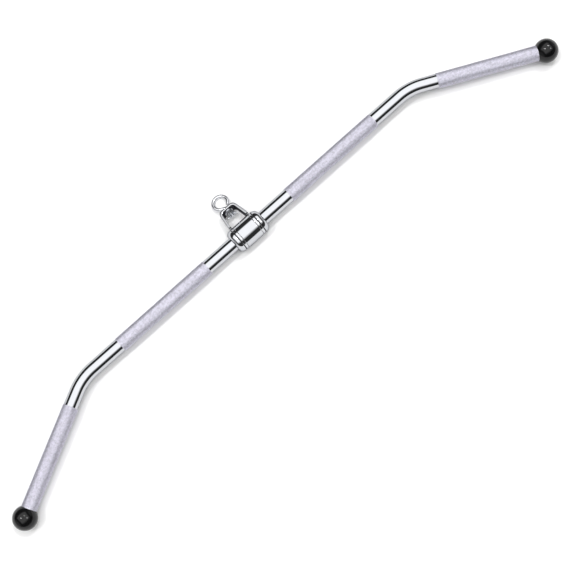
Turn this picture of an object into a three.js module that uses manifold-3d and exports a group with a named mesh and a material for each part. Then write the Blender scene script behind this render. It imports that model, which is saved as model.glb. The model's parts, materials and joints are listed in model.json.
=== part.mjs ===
// Lat pulldown bar: a bent steel tube with four knurled grips, a ball cap on each end and a revolving hanger
// with a swivel eye in the middle. Millimetres and degrees.
//
// +X runs along the bar, +Y from the bar towards the eye and +Z up. The bar lies as on a floor: the hub, the two
// balls and the hanger's far end rest on it, and the origin is on the floor under the middle of the whole part.

import * as THREE from 'three';
import { mergeVertices } from 'three/addons/utils/BufferGeometryUtils.js';
import Module from 'manifold-3d';

const wasm = await Module();
wasm.setup();

// Clearances shared by all pieces
const fitGap = 0.3;
const cutOverrun = 1;
const weldTolerance = 0.0001;

// Bent tube
const tubeDiameter = 25;
const tubeWall = 3;
const bendVertex = 372.5;
const bendAngleDeg = 27.5;
const bendRadius = 95;
const armLength = 244.5;
const tubeInBall = 9;

// Knurled grips, measured from the middle of the bar and from the bend's vertex
const gripWall = 0.5;
const gripEdge = 0.25;
const innerGripStart = 93;
const innerGripEnd = 288;
const outerGripStart = 50.4;

// Ball caps
const ballDiameter = 42;
const ballFace = 15.5;
const ballMouthEdge = 0.8;

// Hub barrel, which stands between the bracket's two ears, and the bushes that run through ear and barrel
const hubDiameter = 44;
const barrelLength = 33.2;
const barrelEdge = 0.6;
const bushWall = 3.5;
const bushLength = 14;

// Thrust washers between ears and collars, a little smaller than both
const thrustThickness = 1;
const thrustStep = 0.9;

// Domed stop collars, each with a grub screw on the floor side
const collarLength = 10;
const collarEndDiameter = 28.6;
const screwDiameter = 6;
const screwLength = 6;
const screwFromFace = 4.2;
const socketAcrossFlats = 3;
const socketDepth = 3;

// Hanger bracket, a flat strap folded to a U with a round ear at each foot. Heights are measured from the tube's
// axis. The legs are upright up to the knee and lean inwards from there to the crown.
const strapThickness = 4.5;
const strapWidth = 20;
const neckRadius = 8;
const kneeHeight = 26;
const crownHeight = 59.8;
const crownHalfWidth = 17;
const crownInnerRadius = 5.5;

// Swivel eyebolt, its washer, nut and split pin
const wireDiameter = 6.5;
const eyeHoleDiameter = 20;
const eyeStandOff = 1.8;
const eyeFillet = 5;
const shankClearance = 0.4;
const swivelWasherDiameter = 16;
const swivelWasherThickness = 2;
const nutAcrossFlats = 12;
const nutHeight = 9.5;
const slotDepth = 3.4;
const shankBeyondNut = 1.2;
const pinWire = 1;
const pinLegGap = 0.25;
const pinLoopRadius = 1.5;
const pinBendRadius = 1.2;
const pinBendDeg = 70;
const pinStraightLeg = 3.4;
const pinBentLeg = 4.5;

// Facets
const roundSides = 32;
const wireSides = 14;
const pinSides = 8;
const bendSteps = 10;
const domeSteps = 9;
const ballSteps = 12;
const eyeSteps = 30;
const smallArcSteps = 5;

// Derived sizes
const quarterTurn = Math.PI / 2;
const bendAngle = THREE.MathUtils.degToRad(bendAngleDeg);
const tubeRadius = tubeDiameter / 2;
const sleeveBore = tubeRadius + fitGap;
const gripRadius = sleeveBore + gripWall;
const ballRadius = ballDiameter / 2;
const hubRadius = hubDiameter / 2;
const bushRadius = sleeveBore + bushWall;
const earInside = barrelLength / 2 + fitGap;
const earOutside = earInside + strapThickness;
const collarSeat = earOutside + thrustThickness + 2 * fitGap;
const wireRadius = wireDiameter / 2;
const eyeRadius = (eyeHoleDiameter + wireDiameter) / 2;
const eyeHeight = crownHeight + eyeStandOff + wireRadius + eyeRadius;
const shankBore = wireRadius + shankClearance;
const crownUnderside = crownHeight - strapThickness;
const nutTop = crownUnderside - swivelWasherThickness - 2 * fitGap;
const nutBottom = nutTop - nutHeight;
const shankEnd = nutBottom - shankBeyondNut;
const pinHeight = nutBottom + slotDepth / 2;
const pinHoleRadius = pinWire + pinLegGap / 2 + fitGap;

// Finishes
const chrome = { color: 0xd8dade, roughness: 0.08, metalness: 1 };
const knurledSteel = { color: 0xb9b6c4, roughness: 0.55, metalness: 0.7 };
const blackRubber = { color: 0x0c0c0d, roughness: 0.25, metalness: 0 };
const bronze = { color: 0xa9824a, roughness: 0.45, metalness: 1 };
const darkNylon = { color: 0x1b1b1e, roughness: 0.6, metalness: 0 };
const zincSteel = { color: 0xc3c6cb, roughness: 0.3, metalness: 1 };
const blackSteel = { color: 0x2a2b2e, roughness: 0.5, metalness: 0.8 };

// Positions only, with coinciding vertices joined and the slivers at a lathe's poles left out
function weld(geometry) {
  const bare = geometry.clone();
  bare.deleteAttribute('normal');
  bare.deleteAttribute('uv');
  const merged = mergeVertices(bare, weldTolerance);
  const corners = merged.index.array;
  const kept = [];
  for (let i = 0; i < corners.length; i += 3) {
    const [a, b, c] = corners.slice(i, i + 3);
    if (a !== b && b !== c && c !== a) kept.push(a, b, c);
  }
  merged.setIndex(kept);
  return merged;
}

function signedVolume(geometry) {
  const place = geometry.attributes.position;
  const corners = geometry.index.array;
  const [a, b, c] = [new THREE.Vector3(), new THREE.Vector3(), new THREE.Vector3()];
  let sum = 0;
  for (let i = 0; i < corners.length; i += 3) {
    a.fromBufferAttribute(place, corners[i]);
    b.fromBufferAttribute(place, corners[i + 1]);
    c.fromBufferAttribute(place, corners[i + 2]);
    sum += a.dot(b.cross(c));
  }
  return sum;
}

// A welded body with its faces pointing out
function closed(geometry) {
  const body = weld(geometry);
  if (signedVolume(body) < 0) body.setIndex([...body.index.array].reverse());
  return body;
}

function toManifold(body) {
  const vertProperties = new Float32Array(body.attributes.position.array);
  const triVerts = new Uint32Array(body.index.array);
  return new wasm.Manifold(new wasm.Mesh({ numProp: 3, vertProperties, triVerts }));
}

function fromManifold(solid) {
  const mesh = solid.getMesh();
  const geometry = new THREE.BufferGeometry();
  geometry.setAttribute('position', new THREE.BufferAttribute(mesh.vertProperties, 3));
  geometry.setIndex([...mesh.triVerts]);
  return geometry;
}

function cut(body, ...tools) {
  return fromManifold(tools.reduce((rest, tool) => rest.subtract(toManifold(tool)), toManifold(body)));
}

function join(body, ...others) {
  return fromManifold(others.reduce((rest, other) => rest.add(toManifold(other)), toManifold(body)));
}

function common(body, other) {
  return fromManifold(toManifold(body).intersect(toManifold(other)));
}

// A path in the XY plane made of straight and round stretches. Each stretch has its own number of steps, so a
// sweep along the path has its rings where the path bends.
class BentPath extends THREE.Curve {
  constructor(stretches) {
    super();
    this.stretches = stretches;
    this.steps = stretches.reduce((sum, stretch) => sum + stretch.steps, 0);
  }

  getUtoTmapping(u) {
    return u;
  }

  getPoint(t, target = new THREE.Vector3()) {
    let place = t * this.steps;
    let index = 0;
    while (index < this.stretches.length - 1 && place > this.stretches[index].steps) {
      place -= this.stretches[index].steps;
      index += 1;
    }
    const stretch = this.stretches[index];
    const point = stretch.curve.getPoint(place / stretch.steps);
    return target.set(point.x, point.y, 0);
  }
}

function line(from, to) {
  return { curve: new THREE.LineCurve(from, to), steps: 1 };
}

function arc(centre, radius, fromAngle, toAngle, steps) {
  const clockwise = toAngle < fromAngle;
  return { curve: new THREE.EllipseCurve(centre.x, centre.y, radius, radius, fromAngle, toAngle, clockwise), steps };
}

// Straight stretches through the given corners, each inner corner rounded to the same radius
function filletedPath(corners, radius, steps) {
  const stretches = [];
  let from = corners[0];
  for (let i = 1; i < corners.length - 1; i += 1) {
    const before = corners[i].clone().sub(corners[i - 1]).normalize();
    const after = corners[i + 1].clone().sub(corners[i]).normalize();
    const turn = Math.atan2(before.cross(after), before.dot(after));
    const reach = radius * Math.tan(Math.abs(turn) / 2);
    const start = corners[i].clone().addScaledVector(before, -reach);
    const side = new THREE.Vector2(-before.y, before.x).multiplyScalar(Math.sign(turn));
    const centre = start.clone().addScaledVector(side, radius);
    const fromAngle = Math.atan2(-side.y, -side.x);
    stretches.push(line(from, start), arc(centre, radius, fromAngle, fromAngle + turn, steps));
    from = corners[i].clone().addScaledVector(after, reach);
  }
  stretches.push(line(from, corners[corners.length - 1]));
  return new BentPath(stretches);
}

function sweep(section, path) {
  const settings = { steps: path.steps, extrudePath: path, curveSegments: smallArcSteps };
  return closed(new THREE.ExtrudeGeometry(section, settings));
}

// A regular section, round when it has many sides. A half step of turn puts a flat at the top.
function polygon(radius, sides, turn = 0) {
  const corners = [];
  for (let i = 0; i < sides; i += 1) {
    const angle = turn + (2 * Math.PI * i) / sides;
    corners.push(new THREE.Vector2(radius * Math.cos(angle), radius * Math.sin(angle)));
  }
  return new THREE.Shape(corners);
}

function ringSection(outerRadius, innerRadius, sides) {
  const section = polygon(outerRadius, sides);
  section.holes.push(polygon(innerRadius, sides));
  return section;
}

// A turned piece about the X axis. The profile holds [place along the axis, radius] pairs.
function turned(profile, sides = roundSides) {
  const points = profile.map(([along, radius]) => new THREE.Vector2(radius, along));
  const geometry = new THREE.LatheGeometry(points, sides);
  geometry.rotateZ(-quarterTurn);
  return closed(geometry);
}

// A turned sleeve between two places, with both outer edges broken
function sleeve(start, end, bore, radius, edge) {
  return turned([
    [start, bore],
    [start, radius - edge],
    [start + edge, radius],
    [end - edge, radius],
    [end, radius - edge],
    [end, bore],
    [start, bore],
  ]);
}

function rod(start, end, radius, sides = roundSides) {
  return turned([[start, 0], [start, radius], [end, radius], [end, 0]], sides);
}

function piece(name, geometry, finish) {
  const mesh = new THREE.Mesh(geometry, new THREE.MeshStandardMaterial(finish));
  mesh.name = name;
  geometry.computeVertexNormals();
  return mesh;
}

// The tube, swept through its two bends. Both ends are open and stand inside the balls.
function barTube() {
  const reach = armLength + tubeInBall;
  const endX = bendVertex + reach * Math.cos(bendAngle);
  const endY = -reach * Math.sin(bendAngle);
  const corners = [
    new THREE.Vector2(-endX, endY),
    new THREE.Vector2(-bendVertex, 0),
    new THREE.Vector2(bendVertex, 0),
    new THREE.Vector2(endX, endY),
  ];
  const section = ringSection(tubeRadius, tubeRadius - tubeWall, roundSides);
  return piece('bar_tube', sweep(section, filletedPath(corners, bendRadius, bendSteps)), chrome);
}

function grip(name, start, end) {
  return piece(name, sleeve(start, end, sleeveBore, gripRadius, gripEdge), knurledSteel);
}

// A ball with a flat mouth and a blind bore. Its centre is at the origin and the tube comes from -X.
function ballCap(name) {
  const mouthRadius = Math.sqrt(ballRadius ** 2 - ballFace ** 2);
  const boreFloor = tubeInBall + fitGap;
  const profile = [
    [boreFloor, 0],
    [boreFloor, sleeveBore],
    [-ballFace + ballMouthEdge, sleeveBore],
    [-ballFace, sleeveBore + ballMouthEdge],
  ];
  const firstAngle = Math.atan2(mouthRadius, -ballFace);
  for (let i = 0; i <= ballSteps; i += 1) {
    const angle = firstAngle * (1 - i / ballSteps);
    profile.push([ballRadius * Math.cos(angle), i < ballSteps ? ballRadius * Math.sin(angle) : 0]);
  }
  return piece(name, turned(profile), blackRubber);
}

// One arm's grip and ball, in a frame that starts at the bend's vertex and runs along the arm
function arm(side) {
  const label = side > 0 ? 'right' : 'left';
  const group = new THREE.Group();
  group.position.x = side * bendVertex;
  group.rotation.z = side > 0 ? -bendAngle : Math.PI + bendAngle;
  const outerGripEnd = armLength - ballFace - fitGap;
  const ball = ballCap(`ball_cap_${label}`);
  ball.position.x = armLength;
  group.add(grip(`outer_grip_${label}`, outerGripStart, outerGripEnd), ball);
  return group;
}

// A stop collar: a flat face towards the barrel, a dome that falls to the tube and a screw hole below
function stopCollar(name) {
  const endRadius = collarEndDiameter / 2;
  const rise = hubRadius - endRadius;
  const profile = [[0, sleeveBore], [0, hubRadius]];
  for (let i = 1; i <= domeSteps; i += 1) {
    const angle = quarterTurn * (i / domeSteps);
    profile.push([collarLength * Math.sin(angle), endRadius + rise * Math.cos(angle)]);
  }
  profile.push([collarLength, sleeveBore], [0, sleeveBore]);
  const hole = rod(tubeRadius - cutOverrun, hubRadius + cutOverrun, screwDiameter / 2 + fitGap, wireSides);
  hole.rotateY(quarterTurn);
  hole.translate(screwFromFace, 0, 0);
  return piece(name, cut(turned(profile), hole), chrome);
}

// A grub screw that bears on the tube, with a hexagon socket in its outer end
function grubScrew(name) {
  const start = tubeRadius + fitGap;
  const end = start + screwLength;
  const radius = screwDiameter / 2;
  const body = turned([[start, 0], [start, radius], [end, radius], [end, 0]], wireSides);
  const cornerRadius = socketAcrossFlats / Math.sqrt(3);
  const settings = { depth: socketDepth + cutOverrun, bevelEnabled: false };
  const socket = closed(new THREE.ExtrudeGeometry(polygon(cornerRadius, 6), settings));
  socket.rotateY(quarterTurn);
  socket.translate(end - socketDepth, 0, 0);
  const geometry = cut(body, socket);
  geometry.rotateY(quarterTurn);
  geometry.translate(screwFromFace, 0, 0);
  return piece(name, geometry, blackSteel);
}

// The fixed pieces on one side of the hub. Turning the group about Z puts them on the left.
function hubSide(side) {
  const label = side > 0 ? 'right' : 'left';
  const group = new THREE.Group();
  group.rotation.z = side > 0 ? 0 : Math.PI;
  const washerStart = earOutside + fitGap;
  const washerRadius = hubRadius - thrustStep;
  const washer = sleeve(washerStart, washerStart + thrustThickness, sleeveBore, washerRadius, 0);
  const fixed = new THREE.Group();
  fixed.position.x = collarSeat;
  fixed.add(stopCollar(`stop_collar_${label}`), grubScrew(`grub_screw_${label}`));
  group.add(piece(`thrust_washer_${label}`, washer, darkNylon), fixed);
  group.add(grip(`inner_grip_${label}`, innerGripStart, innerGripEnd));
  return group;
}

function hubBarrel() {
  const half = barrelLength / 2;
  return piece('hub_barrel', sleeve(-half, half, bushRadius + fitGap, hubRadius, barrelEdge), chrome);
}

function bush(name, side) {
  const end = side * earOutside;
  const inner = end - side * bushLength;
  const [start, stop] = [Math.min(end, inner), Math.max(end, inner)];
  return piece(name, sleeve(start, stop, sleeveBore, bushRadius, 0), bronze);
}

function arcPoints(x, y, radius, from, to, steps) {
  const points = [];
  for (let i = 0; i <= steps; i += 1) {
    const angle = from + ((to - from) * i) / steps;
    points.push(new THREE.Vector2(x + radius * Math.cos(angle), y + radius * Math.sin(angle)));
  }
  return points;
}

// The outline that the strap keeps when seen along the bar: a round ear, a hollow neck and the straight strap
function strapOutline() {
  const halfWidth = strapWidth / 2;
  const top = crownHeight + cutOverrun;
  const neckX = halfWidth + neckRadius;
  const neckY = Math.sqrt((hubRadius + neckRadius) ** 2 - neckX ** 2);
  const meet = Math.atan2(neckY, neckX);
  return new THREE.Shape([
    new THREE.Vector2(halfWidth, top),
    new THREE.Vector2(-halfWidth, top),
    ...arcPoints(-neckX, neckY, neckRadius, 0, -meet, smallArcSteps),
    ...arcPoints(0, 0, hubRadius, Math.PI - meet, 2 * Math.PI + meet, roundSides),
    ...arcPoints(neckX, neckY, neckRadius, Math.PI + meet, Math.PI, smallArcSteps),
  ]);
}

// The bracket: a wide strap swept through its folds and trimmed to the outline, then bored for bushes and shank
function hangerBracket() {
  const middle = strapThickness / 2;
  const legX = earInside + middle;
  const cornerX = crownHalfWidth - middle;
  const crownY = crownHeight - middle;
  const below = -hubRadius - cutOverrun;
  const corners = [
    new THREE.Vector2(-legX, below),
    new THREE.Vector2(-legX, kneeHeight),
    new THREE.Vector2(-cornerX, crownY),
    new THREE.Vector2(cornerX, crownY),
    new THREE.Vector2(legX, kneeHeight),
    new THREE.Vector2(legX, below),
  ];
  const section = new THREE.Shape([
    new THREE.Vector2(below, -middle),
    new THREE.Vector2(-below, -middle),
    new THREE.Vector2(-below, middle),
    new THREE.Vector2(below, middle),
  ]);
  const strap = sweep(section, filletedPath(corners, crownInnerRadius + middle, smallArcSteps));
  const reach = earOutside + cutOverrun;
  const outline = closed(new THREE.ExtrudeGeometry(strapOutline(), { depth: 2 * reach, bevelEnabled: false }));
  outline.rotateY(quarterTurn);
  outline.translate(-reach, 0, 0);
  const bore = rod(-reach, reach, bushRadius + fitGap);
  const hole = rod(crownUnderside - cutOverrun, crownHeight + cutOverrun, shankBore);
  hole.rotateZ(quarterTurn);
  return piece('hanger_bracket', cut(common(strap, outline), bore, hole), chrome);
}

function swivelWasher() {
  const start = crownUnderside - fitGap - swivelWasherThickness;
  const radius = swivelWasherDiameter / 2;
  const washer = sleeve(start, start + swivelWasherThickness, shankBore, radius, fitGap);
  washer.rotateZ(quarterTurn);
  return piece('swivel_washer', washer, zincSteel);
}

// The eyebolt: one rod that leaves its shank through a reverse bend, runs round the eye and ends beside the
// shank. The shank's end is drilled for the pin.
function eyebolt() {
  const centre = new THREE.Vector2(0, eyeHeight);
  const filletY = eyeHeight - Math.sqrt(eyeRadius ** 2 + 2 * eyeRadius * eyeFillet);
  const filletCentre = new THREE.Vector2(-eyeFillet, filletY);
  const toCentre = Math.atan2(eyeHeight - filletY, eyeFillet);
  const endTurn = Math.asin((wireDiameter + fitGap) / eyeRadius);
  const startAngle = toCentre + Math.PI;
  const endAngle = -quarterTurn + endTurn;
  const path = new BentPath([
    line(new THREE.Vector2(0, shankEnd), new THREE.Vector2(0, filletY)),
    arc(filletCentre, eyeFillet, 0, toCentre, smallArcSteps),
    arc(centre, eyeRadius, startAngle, endAngle, eyeSteps),
  ]);
  const pinHole = rod(-wireDiameter, wireDiameter, pinHoleRadius, wireSides);
  pinHole.translate(0, pinHeight, 0);
  return piece('eyebolt', cut(sweep(polygon(wireRadius, wireSides), path), pinHole), chrome);
}

// A slotted nut. Its flats face X, so one pair of slots lines up with the pin.
function castleNut() {
  const cornerRadius = nutAcrossFlats / Math.sqrt(3);
  const section = polygon(cornerRadius, 6, Math.PI / 6);
  section.holes.push(polygon(wireRadius + fitGap, wireSides));
  const prism = closed(new THREE.ExtrudeGeometry(section, { depth: nutHeight, bevelEnabled: false }));
  prism.rotateX(-quarterTurn);
  prism.translate(0, nutBottom, 0);
  const chamfer = (cornerRadius - nutAcrossFlats / 2) / 2;
  const envelope = turned([
    [nutBottom, 0],
    [nutBottom, nutAcrossFlats / 2],
    [nutBottom + chamfer, cornerRadius],
    [nutTop - chamfer, cornerRadius],
    [nutTop, nutAcrossFlats / 2],
    [nutTop, 0],
  ]);
  envelope.rotateZ(quarterTurn);
  const slots = [];
  for (let i = 0; i < 3; i += 1) {
    const slot = closed(new THREE.BoxGeometry(2 * nutAcrossFlats, slotDepth + cutOverrun, 2 * pinHoleRadius));
    slot.translate(0, nutBottom + (slotDepth - cutOverrun) / 2, 0);
    slot.rotateY((i * Math.PI) / 3);
    slots.push(slot);
  }
  return piece('castle_nut', cut(common(prism, envelope), ...slots), zincSteel);
}

// A split pin: a loop left of the nut, two legs through it, one left straight and one bent to the barrel
function splitPin() {
  const legOffset = (pinWire + pinLegGap) / 2;
  const face = nutAcrossFlats / 2 + fitGap;
  const loopX = -face - pinLoopRadius - pinWire / 2;
  const loopAngle = Math.asin(legOffset / pinLoopRadius);
  const loopEnd = loopX + pinLoopRadius * Math.cos(loopAngle);
  const bend = THREE.MathUtils.degToRad(pinBendDeg);
  const bendCentre = new THREE.Vector2(face, -legOffset - pinBendRadius);
  const bendEnd = new THREE.Vector2(
    face + pinBendRadius * Math.sin(bend),
    bendCentre.y + pinBendRadius * Math.cos(bend),
  );
  const tip = bendEnd.clone().add(new THREE.Vector2(Math.cos(bend), -Math.sin(bend)).multiplyScalar(pinBentLeg));
  const path = new BentPath([
    line(new THREE.Vector2(face + pinStraightLeg, legOffset), new THREE.Vector2(loopEnd, legOffset)),
    arc(new THREE.Vector2(loopX, 0), pinLoopRadius, loopAngle, 2 * Math.PI - loopAngle, 2 * smallArcSteps),
    line(new THREE.Vector2(loopEnd, -legOffset), new THREE.Vector2(face, -legOffset)),
    arc(bendCentre, pinBendRadius, quarterTurn, quarterTurn - bend, smallArcSteps),
    line(bendEnd, tip),
  ]);
  const pin = piece('split_pin', sweep(polygon(pinWire / 2, pinSides), path), zincSteel);
  pin.position.y = pinHeight;
  return pin;
}

// The hub is a little thicker than the balls, so the bar lies tipped until the balls meet the floor
function barTilt() {
  return Math.asin((hubRadius - ballRadius) / (armLength * Math.sin(bendAngle)));
}

// How far the hanger drops from level until the eye, or the strap's lower edge, meets the floor
function hangerTilt() {
  const eyeTilt = Math.asin((hubRadius - wireRadius) / (eyeHeight + eyeRadius));
  const strapReach = Math.hypot(crownHeight, strapWidth / 2);
  const strapTilt = Math.asin(hubRadius / strapReach) - Math.atan2(strapWidth / 2, crownHeight);
  return Math.min(eyeTilt, strapTilt);
}

function hanger() {
  const group = new THREE.Group();
  group.rotation.x = -hangerTilt() - barTilt();
  group.add(hubBarrel(), bush('bush_left', -1), bush('bush_right', 1), hangerBracket(), swivelWasher());
  group.add(eyebolt(), castleNut(), splitPin());
  return group;
}

const bar = new THREE.Group();
bar.rotation.x = barTilt();
bar.add(barTube(), hubSide(-1), hubSide(1), arm(-1), arm(1), hanger());
bar.updateMatrixWorld(true);

const box = new THREE.Box3().setFromObject(bar, true);
const middle = box.getCenter(new THREE.Vector3());
bar.position.set(-middle.x, -middle.y, -box.min.z);

const part = new THREE.Group();
part.add(bar);
part.updateMatrixWorld(true);

export default part;
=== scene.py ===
"""Blender looks for the lat pulldown bar: smooth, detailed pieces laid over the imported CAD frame.

Meshes are written in millimetres in two local frames, the bar's and the hanger's, and scaled to metres when
they are placed. In both frames X is the tube's axis. In the hanger's, Y runs along the eyebolt's shank.
"""

import json
import math

import bmesh
import bpy
from mathutils import Matrix, Vector


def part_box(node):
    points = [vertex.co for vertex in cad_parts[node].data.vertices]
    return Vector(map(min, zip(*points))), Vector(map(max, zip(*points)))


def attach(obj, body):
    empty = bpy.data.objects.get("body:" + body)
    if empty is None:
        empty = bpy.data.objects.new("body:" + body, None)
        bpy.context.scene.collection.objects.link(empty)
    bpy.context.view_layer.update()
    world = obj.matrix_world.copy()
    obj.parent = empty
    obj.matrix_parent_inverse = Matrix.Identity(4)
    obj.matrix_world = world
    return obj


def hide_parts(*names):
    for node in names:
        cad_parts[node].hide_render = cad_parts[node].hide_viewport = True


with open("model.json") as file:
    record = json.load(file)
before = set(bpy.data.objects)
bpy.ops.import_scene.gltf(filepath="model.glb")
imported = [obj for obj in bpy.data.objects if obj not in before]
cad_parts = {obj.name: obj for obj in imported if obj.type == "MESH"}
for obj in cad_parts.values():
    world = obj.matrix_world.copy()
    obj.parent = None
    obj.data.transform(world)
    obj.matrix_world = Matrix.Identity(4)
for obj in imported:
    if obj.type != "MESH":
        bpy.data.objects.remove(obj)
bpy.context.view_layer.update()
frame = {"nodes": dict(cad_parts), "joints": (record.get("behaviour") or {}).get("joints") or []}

MM = 0.001
QUARTER_TURN = math.pi / 2
FULL_TURN = 2 * math.pi

# Bent tube
TUBE_RADIUS = 12.5
TUBE_WALL = 3.0
BEND_VERTEX = 372.5
BEND_ANGLE = math.radians(27.5)
BEND_RADIUS = 95.0
ARM_LENGTH = 244.5
TUBE_IN_BALL = 9.0

# Knurled grips
GRIP_RADIUS = 13.3
GRIP_BORE = 12.6
GRIP_PLAIN_END = 1.1
GRIP_CHAMFER = 0.35
INNER_GRIP_START = 93.0
INNER_GRIP_END = 288.0
OUTER_GRIP_START = 50.4
OUTER_GRIP_END = 228.7
KNURL_PITCH = 1.6
KNURL_DEPTH = 0.2

# Ball caps
BALL_RADIUS = 21.0
BALL_FACE = 15.5
BALL_BORE = 12.6

# Hub: barrel, ears of the bracket, thrust washers and domed collars
HUB_RADIUS = 22.0
BARREL_HALF = 16.6
BARREL_BORE = 16.6
EDGE_ROUND = 0.7
STRAP_THICKNESS = 4.5
FIT_GAP = 0.3
THRUST_THICKNESS = 1.0
THRUST_STEP = 0.9
COLLAR_LENGTH = 10.0
COLLAR_BORE = 12.6
COLLAR_END_RADIUS = 14.3
COLLAR_EDGE = 0.35
WASHER_ROUND = 0.2
SCREW_FROM_FACE = 4.2
SCREW_RADIUS = 3.0
SCREW_CHAMFER = 0.35
SCREW_BOTTOM = 12.8
SCREW_TOP = 18.8
SOCKET_FLATS = 3.0
SOCKET_DEPTH = 3.0

# Bracket, measured from the tube's axis
STRAP_HALF_WIDTH = 10.0
STRAP_ROUND = 0.75
NECK_RADIUS = 8.0
KNEE_HEIGHT = 26.0
KNEE_RADIUS = 30.0
CROWN_HEIGHT = 59.8
CROWN_HALF_WIDTH = 17.0
CROWN_INNER_RADIUS = 5.5
BUSH_SEAT = 16.6
SHANK_BORE = 3.65
HOLE_FLARE = 0.4

# Eyebolt, washer, nut and pin
WIRE_RADIUS = 3.25
EYE_RADIUS = 13.25
EYE_STAND_OFF = 1.8
EYE_FILLET = 5.0
CUT_CHAMFER = 0.7
THREAD_PITCH = 1.0
THREAD_DEPTH = 0.42
WASHER_RADIUS = 8.0
WASHER_THICKNESS = 2.0
NUT_FLATS = 12.0
NUT_HEIGHT = 9.5
NUT_EDGE = 0.12
NUT_CHAMFER = math.radians(30)
SLOT_DEPTH = 3.4
SLOT_WIDTH = 2.85
SHANK_BEYOND_NUT = 1.2
PIN_RADIUS = 1.0
PIN_LEG_OFFSET = 0.625
PIN_FLAT_GAP = 0.1
PIN_LOOP_RADIUS = 1.5
PIN_BEND_RADIUS = 1.2
PIN_BEND = math.radians(70)
PIN_STRAIGHT_LEG = 3.4
PIN_BENT_LEG = 4.5

# Facets
ROUND_SIDES = 96
WIRE_SIDES = 40
SMALL_STEPS = 5
BEND_STEPS = 40
BALL_STEPS = 48
DOME_STEPS = 28
EAR_STEPS = 40
EYE_STEPS = 96
THREAD_STEPS = 10
BEVEL_SEGMENTS = 2

# Points nearer to each other than this are one
WELD = 0.001

# Edges are shown sharp above these angles: on plain pieces, on bored or cut ones, and on the threaded rod
SHARP = math.radians(35)
SHARP_CUT = math.radians(30)
SHARP_THREAD = math.radians(40)

# A bevel breaks the edges above this angle
BEVEL_ANGLE = math.radians(40)

# Camera: the photograph's view. The hub's place is given right of and above the middle of the frame.
SENSOR_WIDTH = 36.0
FOCAL_LENGTH = 74.48
CAMERA_DISTANCE = 2039.33
CAMERA_DROP = math.radians(75.041)
CAMERA_YAW = math.radians(20.128)
CAMERA_ROLL = math.radians(-22.42)
HUB_RIGHT = -71.05
HUB_UP = 99.74

# Studio. The floor's radius is in metres. The sky's levels are given by degrees from overhead, with the arms'
# side positive. The light bank ends along the bar between two shares of a direction's X, and the grey ends of
# the room begin between two others. The pale horizon ends between two shares of its Z.
FLOOR_RADIUS = 40.0
FLOOR_LIFT = 0.07
OVERHEAD_SHARE = 0.5
SKY_PEAK = 1.6
SKY_DARK = 0.04
SKY_HORIZON = 1.0
SKY_LEVELS = [
    (-180, SKY_DARK),
    (-47, SKY_DARK),
    (-38, SKY_PEAK),
    (31, SKY_PEAK),
    (50, SKY_DARK),
    (180, SKY_DARK),
]
BANK_END_SHARES = (0.6, 0.75)
ROOM_END_SHARES = (0.8, 0.93)
SKY_GREY = 0.45
HORIZON_TOP_SHARES = (0.02, 0.06)

# Each lamp's direction and strength
LAMPS = [
    ((0.38, 0.12, 0.92), 0.55),
    ((-0.29, 0.14, 0.945), 0.55),
    ((0.42, -0.40, 0.81), 0.22),
]
LAMP_ANGLE = math.radians(5.0)

# Derived sizes
EAR_INSIDE = BARREL_HALF + FIT_GAP
EAR_OUTSIDE = EAR_INSIDE + STRAP_THICKNESS
COLLAR_SEAT = EAR_OUTSIDE + THRUST_THICKNESS + 2 * FIT_GAP
CROWN_UNDERSIDE = CROWN_HEIGHT - STRAP_THICKNESS
NUT_TOP = CROWN_UNDERSIDE - WASHER_THICKNESS - 2 * FIT_GAP
NUT_BOTTOM = NUT_TOP - NUT_HEIGHT
SHANK_END = NUT_BOTTOM - SHANK_BEYOND_NUT
PIN_HEIGHT = NUT_BOTTOM + SLOT_DEPTH / 2
EYE_HEIGHT = CROWN_HEIGHT + EYE_STAND_OFF + WIRE_RADIUS + EYE_RADIUS

# Where the two local frames stand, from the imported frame
barrel_low, barrel_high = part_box("hub_barrel")
AXIS_POINT = (barrel_low + barrel_high) / 2
BAR_TILT = math.asin((HUB_RADIUS - BALL_RADIUS) / (ARM_LENGTH * math.sin(BEND_ANGLE)))
swivel = next(joint for joint in frame["joints"] if joint["name"] == "eye_swivel")
HANGER_TILT = math.atan2(swivel["axis"][2], swivel["axis"][1])


def place(tilt):
    return Matrix.Translation(AXIS_POINT) @ Matrix.Rotation(tilt, 4, "X") @ Matrix.Scale(MM, 4)


BAR = place(BAR_TILT)
HANGER = place(HANGER_TILT)
X_TO_Y = Matrix.Rotation(QUARTER_TURN, 4, "Z")
ALONG_SHANK = HANGER @ X_TO_Y
SCREW_SPOT = Matrix.Translation((SCREW_FROM_FACE, 0, 0)) @ Matrix.Rotation(QUARTER_TURN, 4, "Y")


# Materials. Each clouds between a darker and a paler colour. Noise scales are per metre.

CHROME_COLOURS = (0.54, 0.55, 0.575), (0.61, 0.62, 0.645)
PLATED_COLOURS = (0.58, 0.59, 0.615), (0.66, 0.67, 0.695)
# The strap's painted shade: dark colours for the inside of its fold, as though in shadow
PAINTED_SHADE_COLOURS = (0.05, 0.05, 0.055), (0.12, 0.12, 0.13)
SATIN_COLOURS = (0.66, 0.67, 0.70), (0.76, 0.77, 0.80)
# The knurl's darker colour goes in its valleys: partly wear, partly painted shade
KNURL_COLOURS = (0.54, 0.53, 0.615), (0.84, 0.825, 0.925)
RUBBER_COLOURS = (0.003, 0.003, 0.0033), (0.006, 0.006, 0.0064)
BRONZE_COLOURS = (0.24, 0.12, 0.035), (0.45, 0.26, 0.09)
NYLON_COLOURS = (0.009, 0.009, 0.011), (0.016, 0.016, 0.018)
ZINC_COLOURS = (0.64, 0.66, 0.70), (0.78, 0.80, 0.83)
OXIDE_COLOURS = (0.016, 0.017, 0.02), (0.035, 0.036, 0.04)
FLOOR_COLOURS = (0.88, 0.88, 0.88), (0.9, 0.9, 0.9)
WHITE = (1, 1, 1, 1)

# The tint of plated metal seen edge on
PLATE_RIM = (0.3, 0.3, 0.31, 1.0)

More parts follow.
